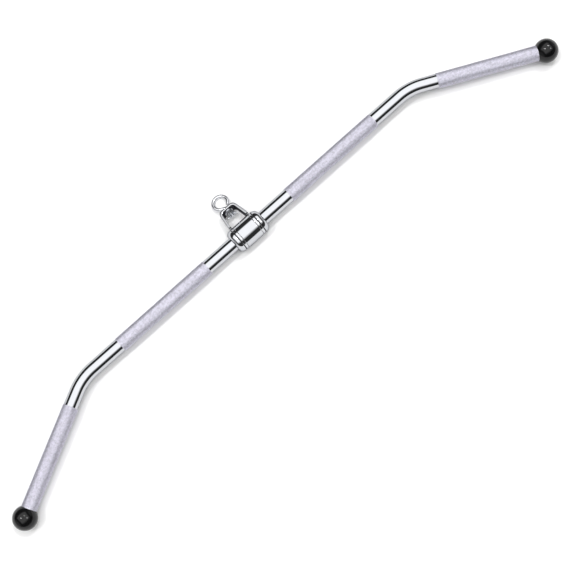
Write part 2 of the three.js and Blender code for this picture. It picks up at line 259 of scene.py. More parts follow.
# Depths of the bumps, in millimetres
FINE_BUMP = 0.03
MIDDLE_BUMP = 0.04
DEEP_BUMP = 0.05

# The two shares of a value's range between which a look changes
NOISE_SHARES = (0.3, 0.7)
WHOLE_SHARES = (0.0, 1.0)
INSIDE_SHARES = (0.25, 0.75)
WEAR_AND_SHADE_SHARES = (0.0, 0.5)
MOTTLE_SHARES = (0.35, 0.6)

# Scratches run along X
SCRATCH_STRETCH = (0.12, 1.0, 1.0)

# Sockets of the Mix node, for numbers and for colours
MIX_FACTOR = 0
MIX_NUMBERS = (2, 3)
MIX_NUMBER_OUT = 0
MIX_COLOURS = (6, 7)
MIX_COLOUR_OUT = 2


class Tree:
    """A node tree and short ways to add to it. An input is a plain value or another node's socket."""

    def __init__(self, tree):
        self.nodes = tree.nodes
        self.links = tree.links

    def node(self, kind, inputs=(), **settings):
        made = self.nodes.new(kind)
        for key, value in settings.items():
            setattr(made, key, value)
        for key, value in dict(inputs).items():
            if isinstance(value, bpy.types.NodeSocket):
                self.links.new(value, made.inputs[key])
            else:
                made.inputs[key].default_value = value
        return made.outputs

    def calculate(self, operation, first, second):
        return self.node("ShaderNodeMath", {0: first, 1: second}, operation=operation)["Value"]

    def remap(self, value, low, high, shares, **settings):
        """From the low number at the first share of the value to the high one at the second."""
        inputs = {"Value": value, "From Min": shares[0], "From Max": shares[1], "To Min": low, "To Max": high}
        return self.node("ShaderNodeMapRange", inputs, **settings)["Result"]


class Shader(Tree):
    """A Principled material and the nodes that feed it."""

    def __init__(self, name, **settings):
        self.material = bpy.data.materials.new(name)
        self.material.use_nodes = True
        super().__init__(self.material.node_tree)
        self.principled = self.nodes["Principled BSDF"]
        for socket, value in settings.items():
            self.principled.inputs[socket.replace("_", " ")].default_value = value
        self.where = self.node("ShaderNodeTexCoord")["Object"]

    def noise(self, scale, detail, stretch=None):
        where = self.where
        if stretch:
            where = self.node("ShaderNodeMapping", {"Vector": where, "Scale": stretch})["Vector"]
        return self.node("ShaderNodeTexNoise", {"Vector": where, "Scale": scale, "Detail": detail})["Fac"]

    def mark(self, name):
        """A number that the mesh keeps at every point."""
        return self.node("ShaderNodeAttribute", attribute_name=name)["Fac"]

    def mix(self, factor, colours):
        inputs = {MIX_FACTOR: factor, **dict(zip(MIX_COLOURS, colours))}
        return self.node("ShaderNodeMix", inputs, data_type="RGBA")[MIX_COLOUR_OUT]

    def cloud(self, factor, colours):
        return self.mix(factor, [(*colour, 1) for colour in colours])

    def feed(self, socket, value):
        self.links.new(value, self.principled.inputs[socket])

    def roughness(self, value, low, high, shares=NOISE_SHARES):
        self.feed("Roughness", self.remap(value, low, high, shares))

    def bump(self, height, strength, depth):
        inputs = {"Height": height, "Strength": strength, "Distance": depth * MM}
        self.feed("Normal", self.node("ShaderNodeBump", inputs)["Normal"])


def chrome():
    shader = Shader("polished_chrome", Metallic=1.0, Specular_Tint=PLATE_RIM)
    haze = shader.noise(scale=38.0, detail=4.0)
    scratches = shader.noise(scale=260.0, detail=5.0, stretch=SCRATCH_STRETCH)
    shader.feed("Base Color", shader.cloud(haze, CHROME_COLOURS))
    shader.roughness(scratches, low=0.03, high=0.085)
    shader.bump(shader.noise(scale=700.0, detail=2.0), strength=0.02, depth=DEEP_BUMP)
    return shader.material


def strap_chrome():
    """Polished outside. The inside of the fold has painted shade, dark colours as though it lay in shadow,
    and it is rougher.
    """
    shader = Shader("strap_chrome", Metallic=1.0, Specular_Tint=PLATE_RIM)
    inside = shader.mark("inside")
    patches = shader.noise(scale=150.0, detail=4.0)
    # Painted shade: the faces turned into the fold get the dark colours
    painted_shade = shader.remap(inside, low=0.0, high=1.0, shares=INSIDE_SHARES)
    plated = shader.cloud(patches, PLATED_COLOURS)
    shader.feed("Base Color", shader.mix(painted_shade, [plated, shader.cloud(patches, PAINTED_SHADE_COLOURS)]))
    shader.roughness(inside, low=0.06, high=0.34, shares=INSIDE_SHARES)
    shader.bump(shader.noise(scale=900.0, detail=3.0), strength=0.04, depth=DEEP_BUMP)
    return shader.material


def satin_chrome():
    """The same plate over a rod that was only tumbled, not polished: the eye and its shank."""
    shader = Shader("satin_chrome", Metallic=1.0, Specular_Tint=PLATE_RIM)
    grain = shader.noise(scale=1400.0, detail=4.0)
    shader.feed("Base Color", shader.cloud(shader.noise(scale=120.0, detail=4.0), SATIN_COLOURS))
    shader.roughness(grain, low=0.12, high=0.2)
    shader.bump(grain, strength=0.05, depth=FINE_BUMP)
    return shader.material


def knurled_steel():
    """Satin plate, mottled. The knurl's valleys are darker than its crests, partly wear on the crests and
    partly painted shade in the valleys, and the crests are smoother.
    """
    shader = Shader("knurled_satin_steel", Metallic=1.0, Specular_Tint=PLATE_RIM)
    crest = shader.mark("crest")
    # Valleys darker than crests: the crests are worn pale at random, and the valleys get painted shade
    wear_and_valley_shade = shader.calculate("MULTIPLY", crest, shader.noise(scale=420.0, detail=4.0))
    plate = shader.cloud(shader.remap(wear_and_valley_shade, low=0.0, high=1.0, shares=WEAR_AND_SHADE_SHARES), KNURL_COLOURS)
    mottle = shader.remap(shader.noise(scale=300.0, detail=5.0), low=0.78, high=1.0, shares=MOTTLE_SHARES)
    mottled = shader.node("ShaderNodeVectorMath", {0: plate, "Scale": mottle}, operation="SCALE")["Vector"]
    shader.feed("Base Color", mottled)
    shader.roughness(crest, low=0.54, high=0.4, shares=WHOLE_SHARES)
    shader.bump(shader.noise(scale=2400.0, detail=2.0), strength=0.15, depth=FINE_BUMP)
    return shader.material


def black_rubber():
    shader = Shader("glossy_black_rubber", Metallic=0.0, Specular_IOR_Level=0.33)
    shader.feed("Base Color", shader.cloud(shader.noise(scale=60.0, detail=4.0), RUBBER_COLOURS))
    shader.roughness(shader.noise(scale=150.0, detail=3.0), low=0.09, high=0.11)
    shader.bump(shader.noise(scale=900.0, detail=3.0), strength=0.01, depth=DEEP_BUMP)
    return shader.material


def bronze():
    shader = Shader("sintered_bronze", Metallic=1.0)
    pores = shader.noise(scale=1800.0, detail=5.0)
    shader.feed("Base Color", shader.cloud(pores, BRONZE_COLOURS))
    shader.roughness(pores, low=0.55, high=0.35)
    shader.bump(pores, strength=0.3, depth=DEEP_BUMP)
    return shader.material


def black_nylon():
    shader = Shader("matte_black_nylon", Metallic=0.0)
    grain = shader.noise(scale=1200.0, detail=4.0)
    shader.feed("Base Color", shader.cloud(grain, NYLON_COLOURS))
    shader.roughness(grain, low=0.5, high=0.65)
    shader.bump(grain, strength=0.12, depth=MIDDLE_BUMP)
    return shader.material


def zinc_steel():
    shader = Shader("bright_zinc", Metallic=1.0)
    shader.feed("Base Color", shader.cloud(shader.noise(scale=330.0, detail=3.0), ZINC_COLOURS))
    shader.roughness(shader.noise(scale=900.0, detail=4.0), low=0.2, high=0.36)
    shader.bump(shader.noise(scale=1500.0, detail=3.0), strength=0.08, depth=MIDDLE_BUMP)
    return shader.material


def black_steel():
    shader = Shader("black_oxide_steel", Metallic=0.8)
    grain = shader.noise(scale=500.0, detail=4.0)
    shader.feed("Base Color", shader.cloud(grain, OXIDE_COLOURS))
    shader.roughness(grain, low=0.35, high=0.5)
    shader.bump(grain, strength=0.08, depth=MIDDLE_BUMP)
    return shader.material


FINISHES = {
    "chrome": chrome(),
    "strap_chrome": strap_chrome(),
    "satin_chrome": satin_chrome(),
    "knurled_steel": knurled_steel(),
    "black_rubber": black_rubber(),
    "bronze": bronze(),
    "black_nylon": black_nylon(),
    "zinc_steel": zinc_steel(),
    "black_steel": black_steel(),
}


# Mesh tools


def solid(name, points, faces, spot=None):
    """A closed mesh object from points and faces: welded, its faces outward, smooth but for sharp edges."""
    mesh = bpy.data.meshes.new(name)
    mesh.from_pydata(points, [], faces)
    work = bmesh.new()
    work.from_mesh(mesh)
    bmesh.ops.remove_doubles(work, verts=work.verts, dist=WELD)
    bmesh.ops.dissolve_degenerate(work, edges=work.edges, dist=WELD / 2)
    bmesh.ops.delete(work, geom=[edge for edge in work.edges if not edge.link_faces], context="EDGES")
    bmesh.ops.recalc_face_normals(work, faces=work.faces)
    work.to_mesh(mesh)
    work.free()
    made = bpy.data.objects.new(name, mesh)
    bpy.context.scene.collection.objects.link(made)
    if spot:
        mesh.transform(spot)
    shade(mesh, SHARP)
    return made


def shade(mesh, sharp):
    """Smooth shading, but with the edges above an angle left sharp."""
    mesh.shade_smooth()
    mesh.set_sharp_from_angle(angle=sharp)


def apply_modifiers(made):
    """Replaces the mesh by what its modifiers make of it."""
    graph = bpy.context.evaluated_depsgraph_get()
    mesh = bpy.data.meshes.new_from_object(made.evaluated_get(graph))
    before = made.data
    made.modifiers.clear()
    made.data = mesh
    bpy.data.meshes.remove(before)
    return made


def combine(made, cutter, operation="DIFFERENCE"):
    """A boolean with another object, which is used up."""
    change = made.modifiers.new("boolean", "BOOLEAN")
    change.operation = operation
    change.solver = "EXACT"
    change.object = cutter
    apply_modifiers(made)
    bpy.data.meshes.remove(cutter.data)
    return made


def break_edges(made, width):
    change = made.modifiers.new("bevel", "BEVEL")
    change.width = width
    change.segments = BEVEL_SEGMENTS
    change.limit_method = "ANGLE"
    change.angle_limit = BEVEL_ANGLE
    return apply_modifiers(made)


def rounded(corners, radius):
    """A closed outline with each corner replaced by an arc."""
    outline = []
    for i, corner in enumerate(corners):
        here = Vector(corner)
        before = (Vector(corners[i - 1]) - here).normalized()
        after = (Vector(corners[(i + 1) % len(corners)]) - here).normalized()
        half = before.angle(after) / 2
        centre = here + (before + after).normalized() * radius / math.sin(half)
        start = here + before * radius / math.tan(half) - centre
        end = here + after * radius / math.tan(half) - centre
        swing = start.angle(end)
        for k in range(SMALL_STEPS + 1):
            share = k / SMALL_STEPS
            weights = math.sin((1 - share) * swing), math.sin(share * swing)
            outline.append(centre + (start * weights[0] + end * weights[1]) / math.sin(swing))
    return outline


def skin(rings, closed_rings=True):
    """Quads between neighbouring rings of points. The last ring joins the first when the rings close."""
    count = len(rings[0])
    faces = []
    for i in range(len(rings) if closed_rings else len(rings) - 1):
        here, there = i * count, ((i + 1) % len(rings)) * count
        for j in range(count):
            after = (j + 1) % count
            faces.append((here + j, here + after, there + after, there + j))
    return [point for ring in rings for point in ring], faces


def turned(along, radius, angle):
    """A point beside the X axis."""
    return (along, radius * math.cos(angle), radius * math.sin(angle))


def lathe(name, outline, spot, sides=ROUND_SIDES):
    """A turned piece about X from a closed outline of (place along the axis, radius)."""
    angles = [FULL_TURN * i / sides for i in range(sides)]
    rings = [[turned(along, radius, angle) for along, radius in outline] for angle in angles]
    return solid(name, *skin(rings), spot)


def rod(start, end, radius, spot=Matrix.Identity(4), sides=ROUND_SIDES):
    return lathe("cutter", [(start, 0), (start, radius), (end, radius), (end, 0)], spot, sides)


def prism(corners, start, end, spot=Matrix.Identity(4)):
    """A straight prism along X from corners in the YZ plane."""
    rings = [[(along, y, z) for y, z in corners] for along in (start, end)]
    points, faces = skin(rings, closed_rings=False)
    count = len(corners)
    faces += [tuple(range(count)), tuple(range(count, 2 * count))]
    return solid("cutter", points, faces, spot)


def hexagon(flats, turn=0.0):
    corner = flats / math.sqrt(3)
    angles = [turn + i * math.pi / 3 for i in range(6)]
    return [(corner * math.cos(angle), corner * math.sin(angle)) for angle in angles]


class Path:
    """A path in the XY plane: points, each with its direction of travel and its distance from the start."""

    def __init__(self):
        self.points = []

    def add(self, point, direction):
        distance = 0.0
        if self.points:
            last, _, before = self.points[-1]
            distance = before + (point - last).length
            if distance - before < WELD:
                return
        self.points.append((point, direction, distance))

    def at(self, distance):
        """The point and the direction of travel at a distance along the path."""
        for (start, before, from_start), (end, after, to_end) in zip(self.points, self.points[1:]):
            if distance <= to_end:
                share = (distance - from_start) / (to_end - from_start)
                return start.lerp(end, share), before.lerp(after, share).normalized()
        return self.points[-1][:2]

    def line(self, start, end, steps=1):
        for k in range(steps + 1):
            self.add(start.lerp(end, k / steps), (end - start).normalized())
        return self

    def arc(self, centre, radius, start, end, steps):
        side = 1 if end > start else -1
        for k in range(steps + 1):
            angle = start + (end - start) * k / steps
            outward = Vector((math.cos(angle), math.sin(angle)))
            self.add(centre + radius * outward, side * Vector((-outward.y, outward.x)))
        return self

    def fillet_through(self, corners, radii, steps):
        """Straight stretches through the corners, with each inner corner rounded to its own radius."""
        start = corners[0]
        for i in range(1, len(corners) - 1):
            before = (corners[i] - corners[i - 1]).normalized()
            after = (corners[i + 1] - corners[i]).normalized()
            turn = math.atan2(before.cross(after), before.dot(after))
            radius = radii[i - 1]
            reach = radius * math.tan(abs(turn) / 2)
            side = Vector((-before.y, before.x)) * math.copysign(1, turn)
            begin = corners[i] - before * reach
            angle = math.atan2(-side.y, -side.x)
            self.line(start, begin)
            self.arc(begin + side * radius, radius, angle, angle + turn, steps)
            start = corners[i] + after * reach
        return self.line(start, corners[-1])


def across(point, direction, side, height):
    """A point beside the path: side to the left of travel, height along Z."""
    spot = point + Vector((-direction.y, direction.x)) * side
    return (spot.x, spot.y, height)


def swept_rings(path, section):
    """The section's outline at every point of the path."""
    rings = []
    for point, direction, distance in path.points:
        rings.append([across(point, direction, side, height) for side, height in section(distance)])
    return rings


def sweep(name, path, section, spot=None):
    """A solid swept along the path. The section gives its outline at a distance along the path."""
    points, faces = skin(swept_rings(path, section), closed_rings=False)
    count = len(section(0.0))
    faces += [tuple(range(count)), tuple(range(len(points) - count, len(points)))]
    return solid(name, points, faces, spot)


def circle(radius, sides):
    angles = [FULL_TURN * i / sides for i in range(sides)]
    return [(radius * math.cos(angle), radius * math.sin(angle)) for angle in angles]


def dress(made, node, slot, body, finish=None):
    """Names a piece, its material, the CAD node it stands for and the body it rides on."""
    made.name = made.data.name = f"{node}_fine"
    made.data.materials.clear()
    made.data.materials.append(FINISHES[finish or slot])
    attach(made, body)
    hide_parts(node)
    return made


# Pieces of the bar


def bar_tube():
    reach = ARM_LENGTH + TUBE_IN_BALL
    end = Vector((BEND_VERTEX + reach * math.cos(BEND_ANGLE), -reach * math.sin(BEND_ANGLE)))
    corners = [Vector((-end.x, end.y)), Vector((-BEND_VERTEX, 0)), Vector((BEND_VERTEX, 0)), end]
    path = Path().fillet_through(corners, [BEND_RADIUS, BEND_RADIUS], BEND_STEPS)
    outside = swept_rings(path, lambda _: circle(TUBE_RADIUS, ROUND_SIDES))
    inside = swept_rings(path, lambda _: circle(TUBE_RADIUS - TUBE_WALL, ROUND_SIDES))
    made = solid("bar_tube", *skin(outside + inside[::-1]), BAR)
    return dress(made, "bar_tube", "chrome", "bar")


def knurled_grip(name, start, end, spot):
    """A sleeve whose middle is cut with real diamond knurling, between two plain chamfered ends."""
    first, last = start + GRIP_PLAIN_END, end - GRIP_PLAIN_END
    half_pitch = KNURL_PITCH / 2
    rows = round((last - first) / half_pitch)
    columns = 2 * round(math.pi * GRIP_RADIUS / half_pitch)
    plain = GRIP_RADIUS - KNURL_DEPTH / 2
    head = [(start, GRIP_BORE), (start, plain - GRIP_CHAMFER), (start + GRIP_CHAMFER, plain)]
    tail = [(end - GRIP_CHAMFER, plain), (end, plain - GRIP_CHAMFER), (end, GRIP_BORE)]
    rings = [(along, [radius] * columns) for along, radius in head]
    for i in range(rows + 1):
        crests = [GRIP_RADIUS - KNURL_DEPTH * ((i + j + 1) % 2) for j in range(columns)]
        rings.append((first + (last - first) * i / rows, crests))
    rings += [(along, [radius] * columns) for along, radius in tail]
    points, crest = [], []
    for along, radii in rings:
        for j, radius in enumerate(radii):
            points.append(turned(along, radius, FULL_TURN * j / columns))
            crest.append(max(0.0, 1 - (GRIP_RADIUS - radius) / KNURL_DEPTH))
    faces = []
    for i in range(len(rings)):
        here, there = i * columns, ((i + 1) % len(rings)) * columns
        for j in range(columns):
            after = (j + 1) % columns
            a, b, c, d = here + j, here + after, there + after, there + j
            if not len(head) <= i < len(head) + rows:
                faces.append((a, b, c, d))
            elif (i - len(head) + j) % 2:
                faces += [(a, b, d), (b, c, d)]
            else:
                faces += [(a, b, c), (a, c, d)]
    mesh = bpy.data.meshes.new(name)
    mesh.from_pydata(points, [], faces)
    mesh.attributes.new("crest", "FLOAT", "POINT").data.foreach_set("value", crest)
    mesh.transform(spot)
    made = bpy.data.objects.new(name, mesh)
    bpy.context.scene.collection.objects.link(made)
    return dress(made, name, "knurled_steel", "bar")


def ball_cap(name, spot):
    """A moulded ball with a flat mouth whose lip is rounded."""
    mouth = math.sqrt(BALL_RADIUS**2 - BALL_FACE**2)
    lip = (mouth - BALL_BORE) / 2
    outline = [(TUBE_IN_BALL + FIT_GAP, 0.0), (TUBE_IN_BALL + FIT_GAP, BALL_BORE)]
    for k in range(2 * SMALL_STEPS):
        angle = math.pi * k / (2 * SMALL_STEPS)
        outline.append((-BALL_FACE + lip * (1 - math.sin(angle)), BALL_BORE + lip * (1 - math.cos(angle))))
    first = math.atan2(mouth, -BALL_FACE)
    for k in range(BALL_STEPS):
        angle = first * (1 - k / BALL_STEPS)
        outline.append((BALL_RADIUS * math.cos(angle), BALL_RADIUS * math.sin(angle)))
    outline.append((BALL_RADIUS, 0.0))
    return dress(lathe(name, outline, spot), name, "black_rubber", "bar")


def arm_spot(side):
    """The frame of one arm. It starts at the bend's vertex, and X runs out along the arm."""
    turn = -BEND_ANGLE if side > 0 else math.pi + BEND_ANGLE
    return BAR @ Matrix.Translation((side * BEND_VERTEX, 0, 0)) @ Matrix.Rotation(turn, 4, "Z")


def thrust_washer(name, spot):
    start = EAR_OUTSIDE + FIT_GAP
    end = start + THRUST_THICKNESS
    radius = HUB_RADIUS - THRUST_STEP
    corners = [(start, COLLAR_BORE), (start, radius), (end, radius), (end, COLLAR_BORE)]
    return dress(lathe(name, rounded(corners, WASHER_ROUND), spot), name, "black_nylon", "bar")


def stop_collar(name, spot):
    """A flat face towards the hub, a small round edge, then a dome that falls to the tube."""
    rise = HUB_RADIUS - COLLAR_END_RADIUS
    edge = COLLAR_EDGE
    outline = [(0.0, COLLAR_BORE), (0.0, HUB_RADIUS - edge), (edge / 3, HUB_RADIUS - edge / 3)]
    first = math.asin(edge / COLLAR_LENGTH)
    for k in range(DOME_STEPS + 1):
        angle = first + (QUARTER_TURN - first) * k / DOME_STEPS
        outline.append((COLLAR_LENGTH * math.sin(angle), COLLAR_END_RADIUS + rise * math.cos(angle)))
    outline += [(COLLAR_LENGTH, COLLAR_BORE + edge), (COLLAR_LENGTH - edge, COLLAR_BORE)]
    made = lathe(name, outline, Matrix.Identity(4))
    combine(made, rod(TUBE_RADIUS, HUB_RADIUS + EDGE_ROUND, SCREW_RADIUS + FIT_GAP, SCREW_SPOT, WIRE_SIDES))
    shade(made.data, SHARP_CUT)
    made.data.transform(spot)
    return dress(made, name, "chrome", "bar")


def grub_screw(name, spot):
    """A cup-point set screw with a hexagon socket in its outer end."""
    chamfer = SCREW_CHAMFER
    outline = [
        (SCREW_BOTTOM, 0),
        (SCREW_BOTTOM, SCREW_RADIUS - 2 * chamfer),
        (SCREW_BOTTOM + chamfer, SCREW_RADIUS - chamfer),
        (SCREW_BOTTOM + 2 * chamfer, SCREW_RADIUS),
        (SCREW_TOP - chamfer, SCREW_RADIUS),
        (SCREW_TOP, SCREW_RADIUS - chamfer),
        (SCREW_TOP, 0),
    ]
    made = lathe(name, outline, Matrix.Identity(4), WIRE_SIDES)
    combine(made, prism(hexagon(SOCKET_FLATS), SCREW_TOP - SOCKET_DEPTH, SCREW_TOP + chamfer))
    shade(made.data, SHARP_CUT)
    made.data.transform(spot @ SCREW_SPOT)
    return dress(made, name, "black_steel", "bar")


def hub_side(side, label):
    turn = Matrix.Rotation(0 if side > 0 else math.pi, 4, "Z")
    seat = BAR @ turn @ Matrix.Translation((COLLAR_SEAT, 0, 0))
    thrust_washer(f"thrust_washer_{label}", BAR @ turn)
    stop_collar(f"stop_collar_{label}", seat)
    grub_screw(f"grub_screw_{label}", seat)
    knurled_grip(f"inner_grip_{label}", INNER_GRIP_START, INNER_GRIP_END, BAR @ turn)
    arm = arm_spot(side)
    knurled_grip(f"outer_grip_{label}", OUTER_GRIP_START, OUTER_GRIP_END, arm)
    ball_cap(f"ball_cap_{label}", arm @ Matrix.Translation((ARM_LENGTH, 0, 0)))


# Pieces of the hanger


def hub_barrel():
    right = [(BARREL_HALF, HUB_RADIUS), (BARREL_HALF, BARREL_BORE)]
    left = [(-along, radius) for along, radius in reversed(right)]
    outline = rounded(left + right, EDGE_ROUND)
    return dress(lathe("hub_barrel", outline, HANGER), "hub_barrel", "chrome", "hanger")


def ear_outline(inset):
    """Half of one ear and its neck as (height, half width), from the lowest point to the straight strap.

    The outline is drawn smaller all round by the inset.
    """
    neck_width = STRAP_HALF_WIDTH + NECK_RADIUS
    neck_height = math.sqrt((HUB_RADIUS + NECK_RADIUS) ** 2 - neck_width**2)
    meet = math.atan2(neck_width, neck_height)
    outline = []
    for k in range(EAR_STEPS):
        angle = math.pi + (meet - math.pi) * k / EAR_STEPS
        outline.append(((HUB_RADIUS - inset) * math.cos(angle), (HUB_RADIUS - inset) * math.sin(angle)))
    hollow = NECK_RADIUS + inset
    for k in range(2 * SMALL_STEPS + 1):
        angle = meet + (QUARTER_TURN - meet) * k / (2 * SMALL_STEPS)
        outline.append((neck_height - hollow * math.cos(angle), neck_width - hollow * math.sin(angle)))
    return outline


def strap_loop(path, inset, offset):
    """The strap's outline carried along the folded path, at an offset from its middle plane."""
    length = path.points[-1][2]
    ear = [(height + HUB_RADIUS, width) for height, width in ear_outline(inset)]
    straight = [distance for _, _, distance in path.points if ear[-1][0] < distance < length - ear[-1][0]]
    stations = ear + [(distance, STRAP_HALF_WIDTH - inset) for distance in straight]
    stations += [(length - distance, width) for distance, width in reversed(ear)]
    loop = []
    for side in (1, -1):
        for distance, width in stations[::side]:
            point, direction = path.at(distance)
            loop.append(across(point, direction, offset, side * width))
    return loop


def hanger_bracket():
    """A strap folded to a U with a round ear at each foot. Every edge is rounded, and the holes are bored."""
    middle = STRAP_THICKNESS / 2
    corners = [
        Vector((EAR_INSIDE + middle, -HUB_RADIUS)),
        Vector((EAR_INSIDE + middle, KNEE_HEIGHT)),
        Vector((CROWN_HALF_WIDTH - middle, CROWN_HEIGHT - middle)),
    ]
    corners += [Vector((-corner.x, corner.y)) for corner in reversed(corners)]
    fold = CROWN_INNER_RADIUS + middle
    path = Path().fillet_through(corners, [KNEE_RADIUS, fold, fold, KNEE_RADIUS], 2 * SMALL_STEPS)
    loops = []
    for side in (1, -1):
        layer = []
        for k in range(SMALL_STEPS + 1):
            angle = QUARTER_TURN * k / SMALL_STEPS
            inset = STRAP_ROUND * (1 - math.sin(angle))
            layer.append(strap_loop(path, inset, side * (middle - STRAP_ROUND * (1 - math.cos(angle)))))
        loops += layer[::side]
    points, faces = skin(loops, closed_rings=False)
    count = len(loops[0])
    for first in (0, len(points) - count):
        for k in range(count // 2 - 1):
            faces.append((first + k, first + k + 1, first + count - 2 - k, first + count - 1 - k))
    made = solid("hanger_bracket", points, faces)
    combine(made, rod(-2 * EAR_OUTSIDE, 2 * EAR_OUTSIDE, BUSH_SEAT))
    flare = SHANK_BORE + HOLE_FLARE
    hole = [
        (CROWN_UNDERSIDE - HOLE_FLARE, 0),
        (CROWN_UNDERSIDE - HOLE_FLARE, flare + HOLE_FLARE),
        (CROWN_UNDERSIDE + HOLE_FLARE, SHANK_BORE),
        (CROWN_HEIGHT - HOLE_FLARE, SHANK_BORE),
        (CROWN_HEIGHT + HOLE_FLARE, flare + HOLE_FLARE),
        (CROWN_HEIGHT + HOLE_FLARE, 0),
    ]
    combine(made, lathe("cutter", hole, X_TO_Y))
    shade(made.data, SHARP_CUT)

    # How far each point faces into the fold, for the painted shade on its inside
    marks = []
    for vertex in made.data.vertices:
        inward = (Vector((0, KNEE_HEIGHT)) - vertex.co.xy).normalized()
        marks.append(max(0.0, vertex.normal.xy.dot(inward)))
    made.data.attributes.new("inside", "FLOAT", "POINT").data.foreach_set("value", marks)
    made.data.transform(HANGER)
    return dress(made, "hanger_bracket", "chrome", "hanger", "strap_chrome")


def swivel_washer():
    end = CROWN_UNDERSIDE - FIT_GAP
    start = end - WASHER_THICKNESS
    corners = [(start, SHANK_BORE), (start, WASHER_RADIUS), (end, WASHER_RADIUS), (end, SHANK_BORE)]
    made = lathe("swivel_washer", rounded(corners, WASHER_ROUND), ALONG_SHANK)
    return dress(made, "swivel_washer", "zinc_steel", "hanger")


# Pieces that turn with the eye


def eyebolt():
    """One bent rod with cut ends: a threaded shank, a reverse bend, and an eye that ends beside the shank."""
    centre = Vector((0, EYE_HEIGHT))
    fillet_height = EYE_HEIGHT - math.sqrt(EYE_RADIUS**2 + 2 * EYE_RADIUS * EYE_FILLET)
    to_centre = math.atan2(EYE_HEIGHT - fillet_height, EYE_FILLET)
    end_turn = math.asin((2 * WIRE_RADIUS + FIT_GAP) / EYE_RADIUS)
    thread_length = NUT_TOP - SHANK_END
    thread_steps = round(THREAD_STEPS * thread_length / THREAD_PITCH)
    path = Path()
    path.line(Vector((0, SHANK_END)), Vector((0, NUT_TOP)), thread_steps)
    path.line(Vector((0, NUT_TOP)), Vector((0, fillet_height)), SMALL_STEPS)
    path.arc(Vector((-EYE_FILLET, fillet_height)), EYE_FILLET, 0, to_centre, 4 * SMALL_STEPS)
    path.arc(centre, EYE_RADIUS, to_centre + math.pi, end_turn - QUARTER_TURN, EYE_STEPS)
    length = path.points[-1][2]

    def section(distance):
        cut = max(CUT_CHAMFER - distance, CUT_CHAMFER - (length - distance), 0)
        outline = []
        for i in range(WIRE_SIDES):
            angle = FULL_TURN * i / WIRE_SIDES
            turn = (distance / THREAD_PITCH + i / WIRE_SIDES) % 1
            groove = THREAD_DEPTH * min(1, 2 * (1 - abs(2 * turn - 1))) if distance < thread_length else 0
            radius = WIRE_RADIUS - max(cut, groove)
            outline.append((radius * math.cos(angle), radius * math.sin(angle)))
        return outline

    made = sweep("eyebolt", path, section)
    pin_hole = Matrix.Translation((0, PIN_HEIGHT, 0))
    combine(made, rod(-2 * WIRE_RADIUS, 2 * WIRE_RADIUS, SLOT_WIDTH / 2, pin_hole, WIRE_SIDES))
    shade(made.data, SHARP_THREAD)
    made.data.transform(HANGER)
    return dress(made, "eyebolt", "chrome", "eye", "satin_chrome")


def castle_nut():
    """A slotted nut: its corners are turned away at both ends, and its six slots face the barrel."""
    corner = NUT_FLATS / math.sqrt(3)
    fall = (corner - NUT_FLATS / 2) * math.tan(NUT_CHAMFER)
    made = prism(hexagon(NUT_FLATS, math.pi / 6), NUT_BOTTOM, NUT_TOP)
    made.name = "castle_nut"
    envelope = [
        (NUT_BOTTOM, 0),
        (NUT_BOTTOM, NUT_FLATS / 2),
        (NUT_BOTTOM + fall, corner),
        (NUT_TOP - fall, corner),
        (NUT_TOP, NUT_FLATS / 2),
        (NUT_TOP, 0),
    ]
    combine(made, lathe("cutter", envelope, Matrix.Identity(4)), "INTERSECT")
    half = SLOT_WIDTH / 2
    for i in range(3):
        turn = Matrix.Rotation(i * math.pi / 3, 4, "X")
        slot = [(-NUT_FLATS, -half), (NUT_FLATS, -half), (NUT_FLATS, half), (-NUT_FLATS, half)]
        combine(made, prism(slot, NUT_BOTTOM - SLOT_DEPTH, NUT_BOTTOM + SLOT_DEPTH, turn))
    combine(made, rod(SHANK_END, CROWN_HEIGHT, WIRE_RADIUS + FIT_GAP / 2, sides=WIRE_SIDES))
    break_edges(made, NUT_EDGE)
    shade(made.data, SHARP_CUT)
    made.data.transform(ALONG_SHANK)
    return dress(made, "castle_nut", "zinc_steel", "eye")


def split_pin():
    """A pin of half-round wire: a loop left of the nut, and two legs through it, one bent to the barrel."""
    face = NUT_FLATS / 2 + FIT_GAP
    loop_x = -face - PIN_LOOP_RADIUS - PIN_RADIUS / 2
    opening = math.asin(PIN_LEG_OFFSET / PIN_LOOP_RADIUS)
    loop_end = loop_x + PIN_LOOP_RADIUS * math.cos(opening)
    bend_centre = Vector((face, -PIN_LEG_OFFSET - PIN_BEND_RADIUS))
    bend_end = bend_centre + PIN_BEND_RADIUS * Vector((math.sin(PIN_BEND), math.cos(PIN_BEND)))
    tip = bend_end + PIN_BENT_LEG * Vector((math.cos(PIN_BEND), -math.sin(PIN_BEND)))
    steps = 4 * SMALL_STEPS
    path = Path()
    path.line(Vector((face + PIN_STRAIGHT_LEG, PIN_LEG_OFFSET)), Vector((loop_end, PIN_LEG_OFFSET)), steps)
    path.arc(Vector((loop_x, 0)), PIN_LOOP_RADIUS, opening, FULL_TURN - opening, 2 * steps)
    path.line(Vector((loop_end, -PIN_LEG_OFFSET)), Vector((face, -PIN_LEG_OFFSET)), steps)
    path.arc(bend_centre, PIN_BEND_RADIUS, QUARTER_TURN, QUARTER_TURN - PIN_BEND, steps)
    path.line(bend_end, tip, SMALL_STEPS)
    flat = PIN_LEG_OFFSET - PIN_FLAT_GAP
    half_round = [QUARTER_TURN + math.pi * k / steps for k in range(steps + 1)]
    outline = [(flat + PIN_RADIUS * math.cos(angle), PIN_RADIUS * math.sin(angle)) for angle in half_round]
    spot = HANGER @ Matrix.Translation((0, PIN_HEIGHT, 0))
    made = sweep("split_pin", path, lambda _: outline, spot)
    return dress(made, "split_pin", "zinc_steel", "eye")


# Studio


